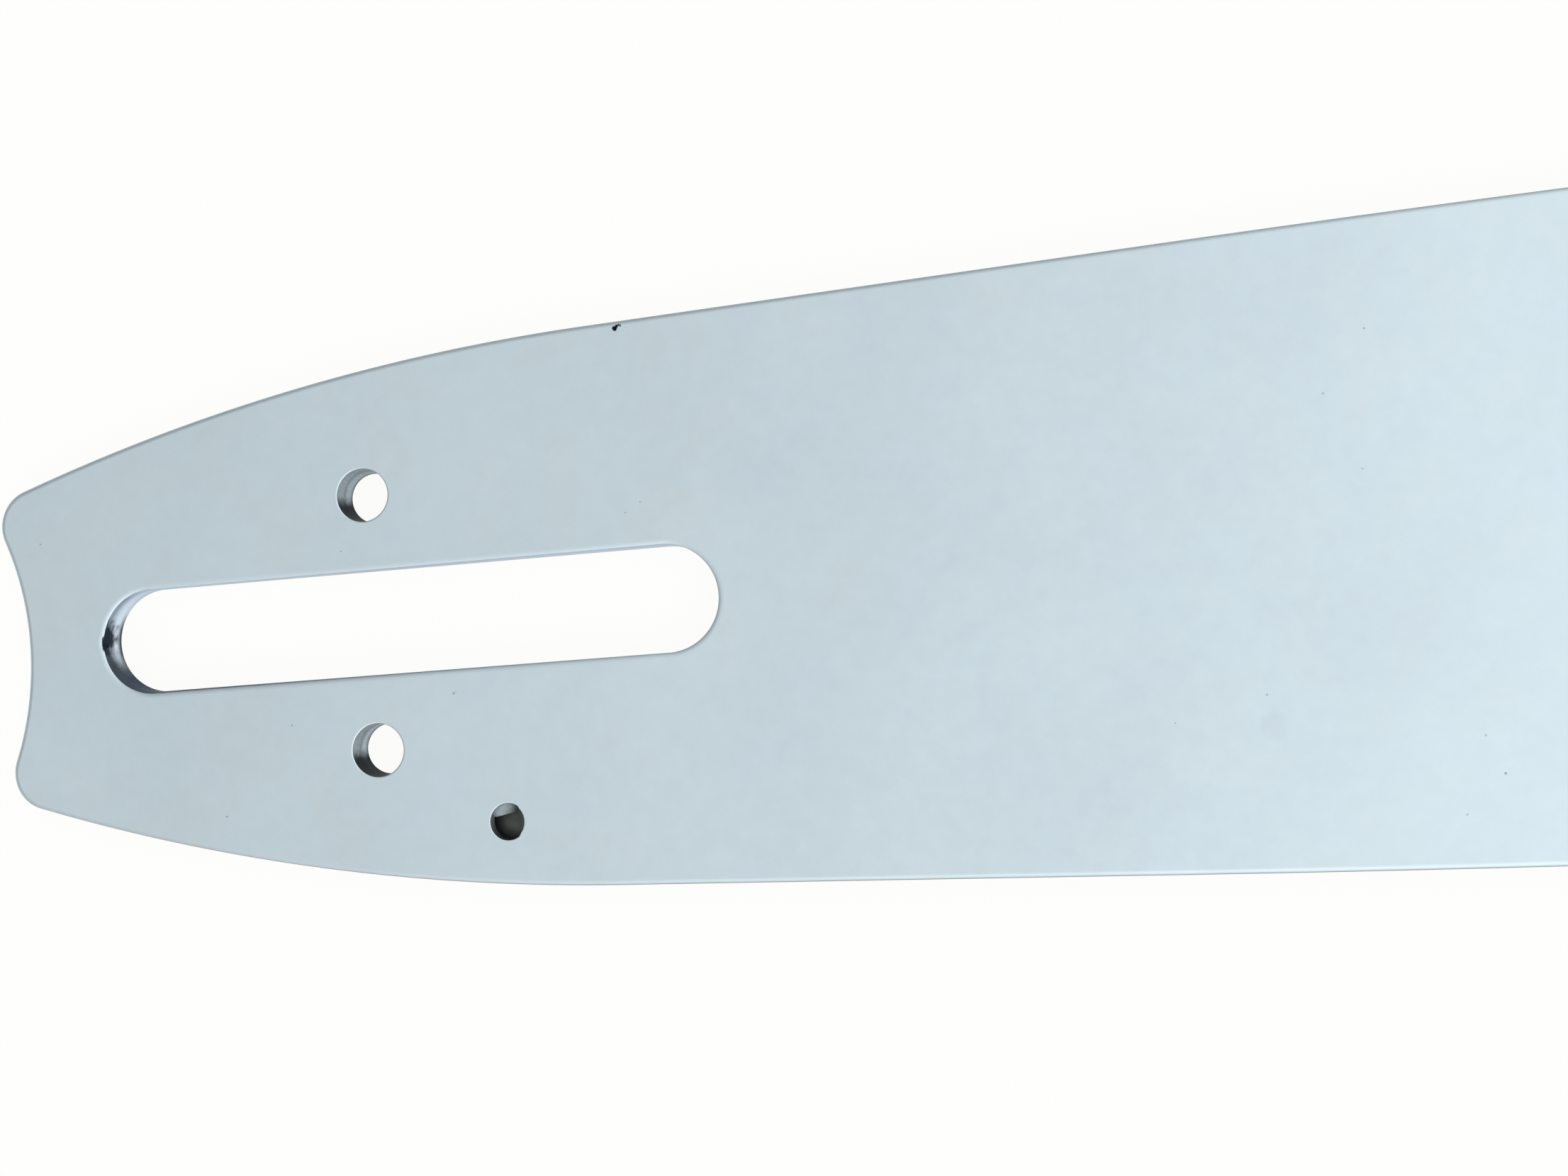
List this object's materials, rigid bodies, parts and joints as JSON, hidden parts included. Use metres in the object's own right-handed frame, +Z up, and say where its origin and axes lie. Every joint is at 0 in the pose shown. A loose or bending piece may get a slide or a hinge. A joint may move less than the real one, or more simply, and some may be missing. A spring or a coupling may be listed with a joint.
{
  "type": "chainsaw guide bar",
  "caption": "Long flat laminated steel bar that carries a saw chain in a groove round its edge, with a slotted mounting tail and a toothed sprocket turning in its rounded nose.",
  "frame": {"origin": "middle of the stud slot in the tail, on the lower face that the bar lies on", "axes": "+X along the bar from the tail to the nose, +Y across the bar, +Z up, out of the upper face"},
  "size_m": [0.7848, 0.0724, 0.0047],
  "materials": {
    "satin_steel_face": "satin",
    "mill_steel_core": "mill",
    "hardened_sprocket_steel": "hardened",
    "bearing_steel": "ground",
    "rivet_steel": "ground flush"
  },
  "bodies": {
    "bar": {"upper_side_plate": "satin_steel_face", "lower_side_plate": "satin_steel_face", "core_plate": "mill_steel_core", "bearing_race": "bearing_steel", "nose_rivets": "rivet_steel"},
    "sprocket": {"nose_sprocket": "hardened_sprocket_steel"},
    "rollers": {"roller_01": "bearing_steel", "roller_02": "bearing_steel", "roller_03": "bearing_steel", "roller_04": "bearing_steel", "roller_05": "bearing_steel", "roller_06": "bearing_steel", "roller_07": "bearing_steel", "roller_08": "bearing_steel", "roller_09": "bearing_steel", "roller_10": "bearing_steel", "roller_11": "bearing_steel", "roller_12": "bearing_steel", "roller_13": "bearing_steel", "roller_14": "bearing_steel", "roller_15": "bearing_steel", "roller_16": "bearing_steel", "roller_17": "bearing_steel", "roller_18": "bearing_steel", "roller_19": "bearing_steel", "roller_20": "bearing_steel"}
  },
  "joints": [
    {"name": "sprocket_spin", "type": "hinge", "parent": "bar", "child": "sprocket", "pos_m": [0.7055, 0, 0.00235], "axis": [0, 0, 1], "continuous": true},
    {"name": "rollers_orbit", "type": "hinge", "parent": "bar", "child": "rollers", "pos_m": [0.7055, 0, 0.00235], "axis": [0, 0, 1], "continuous": true}
  ],
  "couplings": [
    {"joint": "rollers_orbit", "follows": "sprocket_spin", "ratio": 0.5765}
  ]
}
